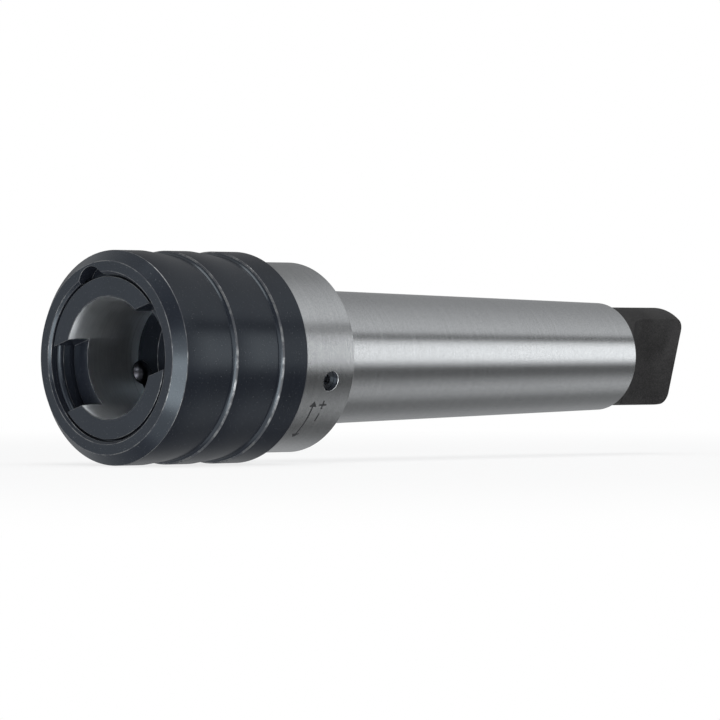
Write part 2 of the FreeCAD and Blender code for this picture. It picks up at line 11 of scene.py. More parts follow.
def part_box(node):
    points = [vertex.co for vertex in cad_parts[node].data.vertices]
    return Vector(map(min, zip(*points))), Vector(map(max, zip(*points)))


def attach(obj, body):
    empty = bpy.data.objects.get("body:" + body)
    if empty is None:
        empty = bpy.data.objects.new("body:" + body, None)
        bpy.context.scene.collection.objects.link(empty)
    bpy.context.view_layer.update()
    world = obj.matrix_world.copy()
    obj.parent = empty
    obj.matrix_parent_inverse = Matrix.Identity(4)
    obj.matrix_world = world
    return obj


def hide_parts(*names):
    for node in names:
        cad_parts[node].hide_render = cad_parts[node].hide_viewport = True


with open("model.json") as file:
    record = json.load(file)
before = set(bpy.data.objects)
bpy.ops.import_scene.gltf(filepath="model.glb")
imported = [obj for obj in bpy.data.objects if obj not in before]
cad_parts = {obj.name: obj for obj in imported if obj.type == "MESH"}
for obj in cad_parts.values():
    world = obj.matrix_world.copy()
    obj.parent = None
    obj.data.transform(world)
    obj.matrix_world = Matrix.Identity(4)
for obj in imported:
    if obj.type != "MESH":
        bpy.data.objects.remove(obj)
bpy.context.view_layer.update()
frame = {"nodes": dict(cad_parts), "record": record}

bl_info = {
    "name": "Tapping Head",
    "version": (1, 0, 0),
    "blender": (4, 5),
    "location": "View3D > Sidebar > Tapping Head",
    "description": "Builds a quick-change tapping head around its packed solids",
    "category": "Object",
}

SLEEVE_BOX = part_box("release_sleeve")
SPINDLE_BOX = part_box("float_spindle")
SHANK_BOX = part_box("shank_body")
BUSH_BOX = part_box("guide_bush")
SEAT_RING_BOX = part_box("spring_seat_ring")
SPRING_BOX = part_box("compression_spring")
BOLT_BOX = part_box("tension_bolt")
TORQUE_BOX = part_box("torque_balls")
MM = 0.001
HAIR = 0.02 * MM
SHARP = math.radians(30)
# Points nearer than this are one
TOUCHING = 1e-7
# Material slots of the broken edges and of a wall with a finish of its own: the socket's bare bore, and the
# screw hole's wall, whose black oxide is painted shade
EDGE_SLOT = 1
WALL_SLOT = 2
NOSE = SPINDLE_BOX[0][0]
SLEEVE_FRONT = SLEEVE_BOX[0][0]
SLEEVE_BACK = SLEEVE_BOX[1][0]

# Faces round a rod, the screw's hole and the tang's milling wheel, and across rounded corners and edges
ROD_STEPS = 48
HOLE_STEPS = 64
WHEEL_STEPS = 160
ROUND_STEPS = 12
EDGE_STEPS = 2
# Rows of faces from end to end of the ball-ended shapes
BALL_ROWS = 32
GROOVE_ROWS = 24

# Scales of the noises, in waves per metre
OXIDE_CLOUDS = 160.0
SPECKS = 6500.0
FINE_GRAIN = 3200.0
RUBBED_PATCHES = 420.0
STAINS = 260.0
STEEL_GRAIN = 4200.0
TANG_CLOUDS = 90.0
TANG_GRAIN = 1800.0
METAL_CLOUDS = 240.0
RUBBER_GRAIN = 1500.0

# Bars of the plus, the minus and the arrow's shaft on the collar: middle and half sizes,
# each as mm along the axis and degrees round it
BARS = (
    ((-11.0, 119.5), (0.18, 2.9)),
    ((-11.0, 119.5), (0.85, 0.60)),
    ((-11.0, 128.5), (0.18, 2.9)),
    ((-13.3, 131.5), (0.18, 13.0)),
)
# The arrow's heads: mm along the axis, clocks of the tips and which way each head opens
ARROW_STATION = -13.3
ARROW_TIPS = ((117.0, 1), (146.0, -1))
ARROW_HEAD = 3.8
ARROW_SLOPE = 0.24


def size(name, text, default, low=0.0):
    """A length or a station in metres that a user may change."""
    return FloatProperty(
        name=name, description=text, default=default, min=low, precision=5, subtype="DISTANCE", unit="LENGTH"
    )


def angle(name, text, degrees):
    return FloatProperty(
        name=name, description=text, default=math.radians(degrees), subtype="ANGLE", unit="ROTATION"
    )


def colour(name, text, default):
    return FloatVectorProperty(
        name=name, description=text, default=default, size=3, min=0.0, max=1.0, subtype="COLOR"
    )


def number(name, text, default):
    return FloatProperty(name=name, description=text, default=default)


def xyz(name, text, default):
    return FloatVectorProperty(name=name, description=text, default=default, subtype="XYZ")


def count(name, text, default):
    return IntProperty(name=name, description=text, default=default, min=1)


def share(name, text, default):
    return FloatProperty(name=name, description=text, default=default, min=0.0, max=1.0, subtype="FACTOR")


def span(name, text, low, high):
    """Two shares: where a light begins and where it is full."""
    return FloatVectorProperty(name=name, description=text, default=(low, high), size=2, min=0.0, max=1.0)


class SleeveSettings(PropertyGroup):
    radius: size("Radius", "Outer radius of the release sleeve", SLEEVE_BOX[1][2])
    chamfer: size("Face chamfer", "Chamfer round the front face", 1.85 * MM)
    lip_radius: size("Lip radius", "Bore at the front face", 14.3 * MM)
    lip_edge: size("Lip edge", "Chamfer of the bore at the front face", 0.45 * MM)
    lip_length: size("Lip length", "Front face to the ring groove", 1.55 * MM)
    ring_groove: size("Ring groove", "Width of the snap ring's groove", 1.4 * MM)
    ring_radius: size("Ring groove radius", "Floor of the snap ring's groove", 14.9 * MM)
    guide_radius: size("Guide radius", "Bore that runs on the spindle", 13.97 * MM)
    guide_length: size("Guide length", "Length of that bore", 6.85 * MM)
    pocket_radius: size("Ball pocket radius", "Room for the balls when the sleeve is back", 15.4 * MM)
    land_radius: size("Ball land radius", "Bore that holds the balls in", 14.12 * MM)
    ramp: size("Ball ramp", "Length of the cone between pocket and land", 2.844 * MM)
    land_front: size("Ball land", "Front face to the ball land", 18.0 * MM)
    skirt_front: size("Skirt", "Front face to the skirt's step", 19.3 * MM)
    skirt_radius: size("Skirt radius", "Bore that runs over the collar", 16.85 * MM)
    grip_first: size("First groove", "Front face to the first grip groove", 7.3 * MM)
    grip_pitch: size("Groove pitch", "Distance between the grip grooves", 11.0 * MM)
    grip_count: count("Grooves", "Number of grip grooves", 2)
    grip_ramp: size("Groove ramp", "Length of a groove's slope", 5.35 * MM)
    grip_depth: size("Groove depth", "Depth of a groove", 0.66 * MM)
    grip_root: size("Groove root", "Flat at the bottom of a groove", 0.25 * MM)
    grip_wall: size("Groove wall", "Length of a groove's hollow wall", 0.75 * MM)
    wall_steps: count("Wall steps", "Straight pieces of the hollow wall", 4)
    rubbed: share("Rubbed wall", "Where the worn top of the hollow wall begins", 0.8)
    edge: size("Rear edge", "Chamfer at the rear end", 0.3 * MM)
    pocket_hole: size("Pry pocket radius", "Half-moon pocket in the face", 3.15 * MM)
    pocket_offset: size("Pry pocket offset", "Axis to the pocket's centre", 13.0 * MM)
    pocket_clock: angle("Pry pocket clock", "Clock angle of the pocket", -16.5)


class SpindleSettings(PropertyGroup):
    radius: size("Radius", "Outer radius of the spindle's head", SPINDLE_BOX[1][2])
    mouth_radius: size("Mouth radius", "Socket mouth at the face", 10.5 * MM)
    mouth_chamfer: size("Mouth chamfer", "Length of the mouth's chamfer", 1.2 * MM)
    socket_radius: size("Socket radius", "Bore of the adapter socket", 10.0 * MM)
    land_length: size("Land length", "Length of that bore", 13.4 * MM)
    ease_radius: size("Ease radius", "Bore in front of the locking balls", 10.3 * MM)
    ease_length: size("Ease length", "Length of that bore", 2.1 * MM)
    undercut_radius: size("Undercut radius", "Run-out round the balls", 10.6 * MM)
    socket_depth: size("Socket depth", "Face to the socket's floor", 21.5 * MM)
    hollow_radius: size("Hollow radius", "Bore of the tail", 4.8 * MM)
    web: size("Web", "Thickness of the tail's end", 4.0 * MM)
    web_hole: size("Web hole", "Hole for the bolt", 2.7 * MM)
    tail_radius: size("Tail radius", "Outside of the tail", 7.5 * MM)
    head_length: size("Head length", "Face to the head's rear", 28.2 * MM)
    flange: size("Nose flange", "Thickness of the flange that stops the ring", 1.0 * MM)
    relief_radius: size("Relief radius", "Groove that the snap ring runs in", 13.45 * MM)
    relief_end: size("Relief end", "Face to the end of that groove", 6.5 * MM)
    seat_radius: size("Seat groove radius", "Groove for the seat ring", 13.3 * MM)
    seat_gap: size("Seat groove gap", "Side clearance of the seat ring", 0.05 * MM)
    slot_width: size("Slot width", "Width of the drive slots", 11.7 * MM)
    slot_depth: size("Slot depth", "Depth of the drive slots", 4.4 * MM)
    slot_clock: angle("Slot clock", "Clock angle of the drive slots", 73.0)
    ball_station: size("Ball station", "Face to the locking balls", 17.3 * MM)
    ball_at: size("Ball radius", "Axis to a ball's centre", 11.55 * MM)
    ball_radius: size("Ball size", "Radius of a locking ball", 2.5 * MM)
    ball_clear: size("Ball clearance", "Clearance round a ball", 0.05 * MM)
    ball_count: count("Balls", "Number of locking balls", 3)
    ball_clock: angle("First ball", "Clock angle of the first ball", -105.0)
    torque_ball: size("Torque ball", "Radius of a torque ball", 1.5 * MM)
    torque_ring: size("Torque ring", "Tail's surface to the torque balls' centres", 0.025 * MM)
    groove_radius: size("Groove radius", "Radius of the torque-ball grooves", 1.55 * MM)
    groove_count: count("Torque grooves", "Number of torque-ball grooves", 3)
    groove_clock: angle("First groove", "Clock angle of the first torque groove", 45.0)
    groove_ahead: size("Groove ahead", "Groove beyond the first ball", 3.0 * MM)
    groove_behind: size("Groove behind", "Groove beyond the last ball", 4.75 * MM)


class ShankSettings(PropertyGroup):
    collar_radius: size("Collar radius", "Outside of the collar", 16.7 * MM)
    collar_back: size("Collar back", "Station of the collar's rear face", -5.0 * MM, SHANK_BOX[0][0])
    collar_edge: size("Collar edge", "Chamfer of the collar", 0.3 * MM)
    gauge_radius: size("Gauge radius", "Taper radius at the gauge plane", 11.9125 * MM)
    taper_rate: number("Taper", "Taper on diameter", 1 / 19.922)
    taper_end: size("Taper end", "Gauge plane to the taper's small end", 75.9 * MM)
    tang_radius: size("Tang radius", "Outside of the tang", 9.2 * MM)
    tang_half: size("Half tang", "Half the tang's thickness", 3.95 * MM)
    tang_flat: size("Tang flat", "Length of the tang's flats", 11.0 * MM)
    tang_cutter: size("Tang cutter", "Run-out radius of the flats", 7.0 * MM)
    tang_round: size("Tang round", "Rounding of the tang's end", 2.0 * MM)
    centre_mouth: size("Centre mouth", "Radius of the centre hole at the tang's end", 1.6 * MM)
    centre_cone: size("Centre cone", "Depth of the centre hole's cone", 1.4 * MM)
    centre_radius: size("Centre radius", "Radius of the centre hole", 0.8 * MM)
    centre_depth: size("Centre depth", "Depth of the centre hole", 4.0 * MM)
    axis_gap: size("Axis gap", "Smallest radius of the turned outline", 0.05 * MM)
    tang_clock: angle("Tang clock", "Clock angle of a flat's normal", 105.0)
    bore_radius: size("Bore radius", "Guide bore of the shank", 7.55 * MM)
    counterbore_radius: size("Counterbore", "Room for the spindle's head", 15.75 * MM)
    clip_radius: size("Circlip groove", "Floor of the circlip's groove", 11.15 * MM)
    clip_gap: size("Circlip gap", "Side clearance of the circlip", 0.05 * MM)
    clip_width: size("Circlip width", "Circlip's front to the bush", 0.85 * MM)
    counterbore_lead: size("Circlip lead", "Counterbore floor to the circlip", 0.2 * MM)
    thread_radius: size("Bolt hole", "Hole for the bolt", 2.53 * MM)
    thread_spare: size("Bolt hole spare", "Hole past the bolt's end", 2.0 * MM)
    drill_point: size("Drill point", "Cone at the end of the bolt's hole", 1.4 * MM)
    screw_radius: size("Screw hole", "Radius of the adjusting screw's hole", 1.75 * MM)
    screw_clock: angle("Screw clock", "Clock angle of the adjusting screw", 104.3)
    screw_station: size("Screw station", "Station of the adjusting screw", -10.65 * MM, SHANK_BOX[0][0])
    screw_fit: size("Screw fit", "Clearance round the screw", 0.05 * MM)


class FinishSettings(PropertyGroup):
    black: colour("Black oxide", "Colour of the blackened steel", (0.011, 0.013, 0.0185))
    oxide_gloss: share("Oxide gloss", "Mirror share of the oxide, 0.5 is plain", 0.575)
    oxide_sheen: colour("Oxide sheen", "Tint of the oxide's reflections", (0.80, 0.92, 1.0))
    oxide_rough: share("Oxide roughness", "Least roughness of the oxide", 0.16)
    oxide_lines: size("Oxide lines", "Pitch of the tool lines under the oxide", 0.12 * MM)
    oxide_relief: size("Oxide relief", "Height of those lines", 0.003 * MM)
    worn_rough: share("Worn roughness", "Roughness of the oxide beside the rubbed steel", 0.40)
    worn_relief: size("Worn relief", "Height of the grain on the edges", 0.004 * MM)
    tang: colour("Tang", "Colour of the heat-blackened tang", (0.026, 0.025, 0.025))
    tang_gloss: share("Tang gloss", "Mirror share of the tang, 0.5 is plain", 0.30)
    tang_rough: share("Tang roughness", "Least roughness of the tang", 0.45)
    steel: colour("Ground steel", "Colour of the ground steel", (0.72, 0.735, 0.745))
    ground_rough: share("Ground roughness", "Least roughness of the ground steel", 0.14)
    fine_lines: size("Fine lines", "Pitch of the finest grinding lines", 0.09 * MM)
    broad_lines: size("Broad lines", "Pitch of the broader grinding lines", 0.35 * MM)
    ground_relief: size("Ground relief", "Height of the grinding lines", 0.008 * MM)
    bore_rough: share("Bore roughness", "Least roughness of the socket's wall", 0.28)
    bore_rings: size("Bore rings", "Pitch of the grinding rings in the socket", 0.4 * MM)
    bore_relief: size("Bore relief", "Height of those rings", 0.02 * MM)
    spring: colour("Spring steel", "Colour of springs, rings and washers", (0.45, 0.45, 0.46))
    screw: colour("Screw steel", "Colour of the adjusting screw", (0.31, 0.32, 0.34))
    # Painted shade: the balls get a near-black colour, far darker than polished steel, so that they look
    # shaded inside the socket
    ball: colour("Ball steel", "Colour of the balls", (0.06, 0.06, 0.068))
    bronze: colour("Bronze", "Colour of the bush and the pad", (0.62, 0.42, 0.20))
    rubber: colour("Rubber", "Colour of the seal", (0.02, 0.02, 0.02))
    drawn_lines: size("Drawn lines", "Pitch of the lines on springs, rings and screws", 0.2 * MM)
    ball_lines: size("Ball lines", "Pitch of the lines on the balls", 0.8 * MM)
    drawn_relief: size("Drawn relief", "Height of those lines", 0.005 * MM)
    rubber_relief: size("Rubber relief", "Height of the seal's grain", 0.01 * MM)
    ink: colour("Mark", "Colour of the collar's marks", (0.03, 0.03, 0.035))
    fine_edge: size("Fine edge", "Width of the broken edges", 0.09 * MM)
    shortest: size("Shortest edge", "Shorter edges are merged", 0.03 * MM)
    steps: count("Steps", "Faces round a turned piece", 256)


class StageSettings(PropertyGroup):
    lens: number("Lens", "Focal length in mm", 256.66)
    sensor: number("Sensor", "Width of the sensor in mm", 36.0)
    nearest: size("Nearest", "Nearest point that the camera shows", 0.01)
    farthest: size("Farthest", "Farthest point that the camera shows", 20.0)
    eye: xyz("Eye", "Place of the camera", (-0.6401, -0.6446, 0.00266))
    ahead: xyz("Ahead", "Direction of view", (0.71167, 0.70250, -0.00347))
    floor_drop: size("Floor", "Axis to the floor", 18.45 * MM)
    floor_size: size("Floor size", "Half the floor's width", 4.0)
    shadow: share("Shadow", "How strongly the floor shows the shadow", 0.22)
    shadow_reach: size("Shadow reach", "Where the shadow has faded out", 0.35)
    shadow_full: share("Full shadow", "Share of that reach with the full shadow", 0.25)
    lamp_place: xyz("Lamp", "Place of the softbox, aimed at the origin", (0.0, -0.15, 0.90))
    lamp_size: size("Lamp size", "Width of the softbox", 0.7)
    lamp_power: number("Lamp power", "Power of the softbox in watts", 4.0)
    tone: colour("Light", "Colour of the studio's light", (0.97, 0.985, 1.0))
    studio: number("Studio", "Strength of the whole studio", 1.2)
    side_span: span("Tang's side", "Where the light of the tang's side begins, along X", 0.62, 0.74)
    far_span: span("Far walls", "Where the wall rows follow the near rows, along X", 0.695, 0.713)
    ends: number("Ends", "Strength of the bands on the nose's side", 1.15)
    fill: number("Fill", "Light from beside and below the camera", 3.4)
    fill_from: xyz("Fill from", "Direction of that light", (-0.75, -0.57, -0.33))
    fill_span: span("Fill's edge", "How near that direction it begins and is full", 0.90, 0.96)
    front: number("Front", "Light straight ahead of the nose", 0.5)
    front_span: span("Front's edge", "How near the axis it begins and is full", 0.76, 0.88)


# Light of the studio as (degrees, level) rows round the axis: 0 at the camera's side, 90 overhead.
# The near rows and then the wall rows light the tang's side, and the end rows light the nose's side.
STUDIO_WALLS = (
    (-180, 0.26), (-137, 0.23), (-112, 0.16), (-92, 0.15), (-76, 0.30), (-62, 0.37), (-48, 0.25),
    (-35, 0.10), (-21, 0.08), (-14, 0.40), (-5, 0.95), (6, 1.0), (20, 0.95), (28, 0.65), (34, 0.06),
    (41, 0.06), (47, 0.40), (60, 0.38), (80, 0.32), (110, 0.26), (143, 0.23), (180, 0.26),
)
STUDIO_NEAR = (
    (-180, 0.18), (-150, 0.30), (-130, 0.24), (-112, 0.11), (-95, 0.03), (20, 0.03), (28, 0.08),
    (33, 0.34), (47, 0.46), (60, 0.44), (80, 0.32), (110, 0.14), (143, 0.12), (180, 0.18),
)
STUDIO_ENDS = (
    (-180, 0.42), (-120, 0.26), (-97, 0.10), (-89, 0.70), (-42, 0.70), (-33, 0.06), (-14, 0.04),
    (-7, 1.00), (22, 1.00), (31, 0.06), (60, 0.12), (120, 0.34), (180, 0.42),
)


def settings():
    return bpy.context.scene.tapping_head


def clock_direction(clock):
    """Unit vector away from the axis at a clock angle: 0 is up, clockwise seen from the nose."""
    return Vector((0, -math.sin(clock), math.cos(clock)))


def on_clock(x, r, clock):
    return Vector((x, 0, 0)) + clock_direction(clock) * r


def clocks(first, total):
    """Evenly spaced clock angles round the axis."""
    return [first + i * 2 * math.pi / total for i in range(total)]


def placed(name, data):
    """Object with this data, linked to the scene."""
    thing = bpy.data.objects.new(name, data)
    bpy.context.scene.collection.objects.link(thing)
    return thing


def mesh_of(name, bm):
    mesh = bpy.data.meshes.new(name)
    bm.to_mesh(mesh)
    bm.free()
    return mesh


def shade(mesh):
    """Smooth shading apart from the sharp edges."""
    mesh.shade_smooth()
    mesh.set_sharp_from_angle(angle=SHARP)


def new_piece(name, bm):
    """Object at the origin with this mesh, smoothly shaded."""
    piece = placed(name, mesh_of(name, bm))
    shade(piece.data)
    return piece


def turned(outline):
    """Mesh turned about the axis from (station, radius) corners; a third number rounds a corner."""
    bm = bmesh.new()
    corners = [bm.verts.new((corner[0], 0, corner[1])) for corner in outline]
    bm.faces.new(corners)
    for vertex, corner in zip(corners, outline):
        if len(corner) == 3:
            bmesh.ops.bevel(
                bm, geom=[vertex], offset=corner[2], offset_type="OFFSET", segments=ROUND_STEPS, profile=0.5,
                affect="VERTICES", material=-1,
            )
    bmesh.ops.delete(bm, geom=bm.faces[:], context="FACES_ONLY")
    bmesh.ops.spin(
        bm, geom=bm.verts[:] + bm.edges[:], cent=(0, 0, 0), axis=(1, 0, 0), dvec=(0, 0, 0),
        angle=2 * math.pi, steps=settings().finish.steps, use_merge=True,
    )
    bmesh.ops.remove_doubles(bm, verts=bm.verts[:], dist=TOUCHING)
    bmesh.ops.recalc_face_normals(bm, faces=bm.faces[:])
    return bm


def rod_between(a, b, radius, steps=ROD_STEPS):
    """Mesh of a round bar between two points."""
    bm = bmesh.new()
    way = b - a
    turn = way.to_track_quat("Z", "Y").to_matrix().to_4x4()
    place = Matrix.Translation((a + b) / 2) @ turn
    bmesh.ops.create_cone(
        bm, cap_ends=True, segments=steps, radius1=radius, radius2=radius, depth=way.length, matrix=place
    )
    return bm


def ball(centre, radius, rows=BALL_ROWS):
    bm = bmesh.new()
    bmesh.ops.create_uvsphere(
        bm, u_segments=2 * rows, v_segments=rows, radius=radius, matrix=Matrix.Translation(centre)
    )
    return bm


def round_ended(a, b, radius, rows):
    """Mesh of a round bar with ball ends centred on two points: a ball pulled apart at its middle."""
    bm = bmesh.new()
    bmesh.ops.create_uvsphere(bm, u_segments=2 * rows, v_segments=rows, radius=radius)
    way = b - a
    upper = [v for v in bm.verts if v.co.z > TOUCHING]
    bmesh.ops.translate(bm, verts=upper, vec=(0, 0, way.length))
    place = Matrix.Translation(a) @ way.to_track_quat("Z", "Y").to_matrix().to_4x4()
    bmesh.ops.transform(bm, matrix=place, verts=bm.verts[:])
    return bm


def block(centre, size_xyz, turn):
    """Mesh of a block of three sizes, turned about its centre."""
    bm = bmesh.new()
    place = Matrix.Translation(centre) @ turn.to_4x4() @ Matrix.Diagonal((*size_xyz, 1))
    bmesh.ops.create_cube(bm, size=1.0, matrix=place)
    return bm


def cut(piece, cutters):
    """Takes the cutters' shapes off a piece, one after the other."""
    tools = []
    for i, bm in enumerate(cutters):
        name = f"cutter_{i}"
        tool = placed(name, mesh_of(name, bm))
        step = piece.modifiers.new(name, "BOOLEAN")
        step.operation, step.solver, step.object = "DIFFERENCE", "EXACT", tool
        tools.append(tool)
    result = bpy.data.meshes.new_from_object(piece.evaluated_get(bpy.context.evaluated_depsgraph_get()))
    for tool in tools:
        bpy.data.objects.remove(tool)
    bm = bmesh.new()
    bm.from_mesh(result)
    bmesh.ops.remove_doubles(bm, verts=bm.verts[:], dist=settings().finish.shortest)
    bmesh.ops.dissolve_degenerate(bm, edges=bm.edges[:], dist=settings().finish.shortest)
    bm.to_mesh(result)
    bm.free()
    piece.modifiers.clear()
    piece.data = result
    shade(result)


def break_edges(piece, end=math.inf):
    """Fine rounding of the sharp edges before a station, with its own worn finish in the second slot."""
    mesh = piece.data
    weight = mesh.attributes.new("bevel_weight_edge", "FLOAT", "EDGE")
    for edge in mesh.edges:
        before = all(mesh.vertices[v].co.x < end for v in edge.vertices)
        weight.data[edge.index].value = float(edge.use_edge_sharp and before)
    step = piece.modifiers.new("fine_edge", "BEVEL")
    step.width, step.segments = settings().finish.fine_edge, EDGE_STEPS
    step.limit_method, step.miter_outer = "WEIGHT", "MITER_ARC"
    step.use_clamp_overlap, step.material = False, EDGE_SLOT
    step.harden_normals = True


class Socket:
    """A shader socket whose arithmetic adds Math nodes."""

    def __init__(self, shader, socket):
        self.shader, self.socket = shader, socket

    def _math(self, operation, *values):
        return self.shader.node("ShaderNodeMath", {"operation": operation}, *values)

    def __add__(self, other):
        return self._math("ADD", self, other)

    __radd__ = __add__

    def __sub__(self, other):
        return self._math("SUBTRACT", self, other)

    def __rsub__(self, other):
        return self._math("SUBTRACT", other, self)

    def __mul__(self, other):
        return self._math("MULTIPLY", self, other)

    __rmul__ = __mul__

    def __truediv__(self, other):
        return self._math("DIVIDE", self, other)

    def __abs__(self):
        return self._math("ABSOLUTE", self)

    def __gt__(self, other):
        return self._math("GREATER_THAN", self, other)

    def __lt__(self, other):
        return self._math("LESS_THAN", self, other)


class Shader:
    """A material's or a world's node tree, with one method that adds any node."""

    def __init__(self, name, owner=None):
        self.material = owner or bpy.data.materials.new(name)
        self.material.use_nodes = True
        self.tree = self.material.node_tree
        self.surface = self.tree.nodes.get("Principled BSDF")

    def node(self, kind, options=None, *values, out=0, **named):
        """Adds a node: options first, then values or links by position or socket name."""
        node = self.tree.nodes.new(kind)
        for key, value in (options or {}).items():
            setattr(node, key, value)
        for key, value in [*enumerate(values), *named.items()]:
            self.feed(node.inputs[key.replace("_", " ") if isinstance(key, str) else key], value)
        return Socket(self, node.outputs[out])

    def feed(self, target, value):
        if isinstance(value, Socket):
            self.tree.links.new(value.socket, target)
        else:
            target.default_value = value

    def set(self, **values):
        """Values or links of the surface shader's sockets, by name."""
        for key, value in values.items():
            self.feed(self.surface.inputs[key.replace("_", " ")], value)

    def place(self):
        return self.node("ShaderNodeTexCoord", out=3)

    def parts(self, vector):
        node = self.tree.nodes.new("ShaderNodeSeparateXYZ")
        self.feed(node.inputs[0], vector)
        return [Socket(self, output) for output in node.outputs]

    def stretch(self, vector, scale):
        return self.node("ShaderNodeVectorMath", {"operation": "MULTIPLY"}, vector, scale)

    def noise(self, vector, scale, detail=3.0, roughness=0.55):
        return self.node(
            "ShaderNodeTexNoise", {"noise_dimensions": "3D"}, Vector=vector, Scale=scale, Detail=detail,
            Roughness=roughness,
        )

    def ramp(self, factor, stops, smooth=False):
        """Number from 0 to 1 mapped through (position, level) stops."""
        node = self.tree.nodes.new("ShaderNodeValToRGB")
        node.color_ramp.interpolation = "EASE" if smooth else "LINEAR"
        while len(node.color_ramp.elements) < len(stops):
            node.color_ramp.elements.new(0.5)
        for element, (position, level) in zip(node.color_ramp.elements, stops):
            element.position, element.color = position, (level, level, level, 1)
        self.feed(node.inputs[0], factor)
        return Socket(self, node.outputs[0])

    def fade(self, factor, low, high, smooth=False):
        """0 below the low number and 1 above the high one."""
        return self.ramp(factor, [(low, 0.0), (high, 1.0)], smooth)

    def mix(self, factor, a, b):
        """Colour between a and b."""
        node = self.tree.nodes.new("ShaderNodeMix")
        node.data_type = "RGBA"
        self.feed(node.inputs[0], factor)
        for socket, value in ((node.inputs[6], a), (node.inputs[7], b)):
            self.feed(socket, value if isinstance(value, Socket) else (*value, 1.0))
        return Socket(self, node.outputs[2])

    def show(self, shader, output):
        self.tree.links.new(shader.socket, self.tree.nodes[output].inputs["Surface"])

    def bump(self, height, distance, strength=1.0):
        return self.node("ShaderNodeBump", None, Height=height, Distance=distance, Strength=strength)


def tint(rgb, factor):
    return tuple(min(1.0, c * factor) for c in rgb)


def turning_lines(shader, vector, pitch, wander=0.02):
    """Fine tool lines round the axis: noise that is quick along X and slow around."""
    lines = shader.stretch(vector, (1 / pitch, wander / pitch, wander / pitch))
    return shader.noise(lines, 1.0, detail=4.0, roughness=0.65)


def oxide_colour(shader, where):
    """Black oxide's clouds, and its tone with fine pale specks."""
    finish = settings().finish
    clouds = shader.noise(where, OXIDE_CLOUDS, detail=4.0)
    specks = shader.fade(shader.noise(where, SPECKS, detail=0.0), 0.78, 0.84)
    tone = shader.mix(clouds, tint(finish.black, 0.8), tint(finish.black, 1.25))
    return clouds, shader.mix(specks * 0.6, tone, tint(finish.steel, 0.20))


def black_oxide():
    """Satin black oxide on turned steel."""
    shader = Shader("black_oxide")
    finish = settings().finish
    where = shader.place()
    lines = turning_lines(shader, where, finish.oxide_lines)
    clouds, tone = oxide_colour(shader, where)
    relief = lines * 0.6 + shader.noise(where, FINE_GRAIN) * 0.4
    shader.set(
        Base_Color=tone,
        Metallic=0.0,
        Specular_IOR_Level=finish.oxide_gloss,
        Specular_Tint=(*finish.oxide_sheen, 1.0),
        Roughness=finish.oxide_rough + clouds * 0.08 + lines * 0.06,
        Normal=shader.bump(relief, finish.oxide_relief, 0.6),
    )
    return shader.material


def worn_edge():
    """Broken edges: oxide rubbed down to grey steel in patches."""
    shader = Shader("worn_edge")
    finish = settings().finish
    where = shader.place()
    patches = shader.noise(where, RUBBED_PATCHES, detail=5.0, roughness=0.7)
    rubbed = shader.ramp(patches, [(0.0, 0.0), (0.47, 0.12), (0.63, 1.0)])
    shader.set(
        Base_Color=shader.mix(rubbed, tint(finish.black, 1.5), tint(finish.steel, 0.34)),
        Metallic=rubbed,
        Roughness=finish.worn_rough - rubbed * 0.12,
        Normal=shader.bump(shader.noise(where, FINE_GRAIN), finish.worn_relief, 0.5),
    )
    return shader.material


def ground_bore():
    """Socket's wall: ground rings that spread the light along the axis, and stains from the adapters."""
    shader = Shader("ground_bore")
    finish = settings().finish
    where = shader.place()
    rings = turning_lines(shader, where, finish.bore_rings, wander=0.01)
    stain = shader.noise(where, STAINS, detail=4.0)
    shader.set(
        Base_Color=shader.mix(rings * 0.7 + stain * 0.3, tint(finish.steel, 0.9), tint(finish.steel, 1.3)),
        Metallic=1.0,
        Roughness=finish.bore_rough + stain * 0.08,
        Normal=shader.bump(rings, finish.bore_relief),
    )
    return shader.material


def bar(x, clock, middle, half):
    """1 inside a bar on the collar: middle and half sizes as (mm along the axis, degrees round it)."""
    return (abs(x - middle[0]) < half[0]) * (abs(clock - middle[1]) < half[1])


def collar_marks(shader, where):
    """Etched plus, minus and double arrow beside the adjusting screw, 1 where the ink is."""
    x, y, z = shader.parts(where)
    x = x / MM
    clock = shader.node("ShaderNodeMath", {"operation": "ARCTAN2"}, 0 - y, z) * (180 / math.pi)
    marks = sum(bar(x, clock, *sizes) for sizes in BARS)
    for tip, way in ARROW_TIPS:
        along = (clock - tip) * way
        width = along * ARROW_SLOPE
        marks = marks + (along > 0) * (along < ARROW_HEAD) * (abs(x - ARROW_STATION) < width)
    return marks > 0.5


def ground_steel():
    """Ground steel with fine lines and etched signs, dark oxide past the taper's small end."""
    shader = Shader("ground_steel")
    finish = settings().finish
    where = shader.place()
    fine = turning_lines(shader, where, finish.fine_lines)
    broad = turning_lines(shader, where, finish.broad_lines, wander=0.01)
    grain = shader.noise(where, STEEL_GRAIN, detail=2.0)
    clouds = shader.noise(where, TANG_CLOUDS)
    marks = collar_marks(shader, where)
    dark = shader.parts(where)[0] > settings().shank.taper_end - HAIR
    bright = 1.0 - dark
    lined = shader.mix(fine * 0.5 + broad * 0.5, tint(finish.steel, 0.74), tint(finish.steel, 1.24))
    grained = shader.mix(shader.fade(grain, 0.36, 0.64) * 0.35, lined, tint(finish.steel, 1.4))
    steel = shader.mix(marks * 0.9, grained, finish.ink)
    patches = shader.fade(grain * 0.5 + clouds * 0.5, 0.40, 0.62)
    oxide = shader.mix(patches, tint(finish.tang, 0.45), tint(finish.tang, 1.8))
    ground = finish.ground_rough + fine * 0.08 + broad * 0.05 + marks * 0.4
    relief = fine * bright + shader.noise(where, TANG_GRAIN) * dark
    shader.set(
        Base_Color=shader.mix(dark, steel, oxide),
        Metallic=bright,
        Specular_IOR_Level=finish.tang_gloss,
        Roughness=ground * bright + (finish.tang_rough + clouds * 0.15) * dark,
        Normal=shader.bump(relief, finish.ground_relief, 0.7),
    )
    return shader.material


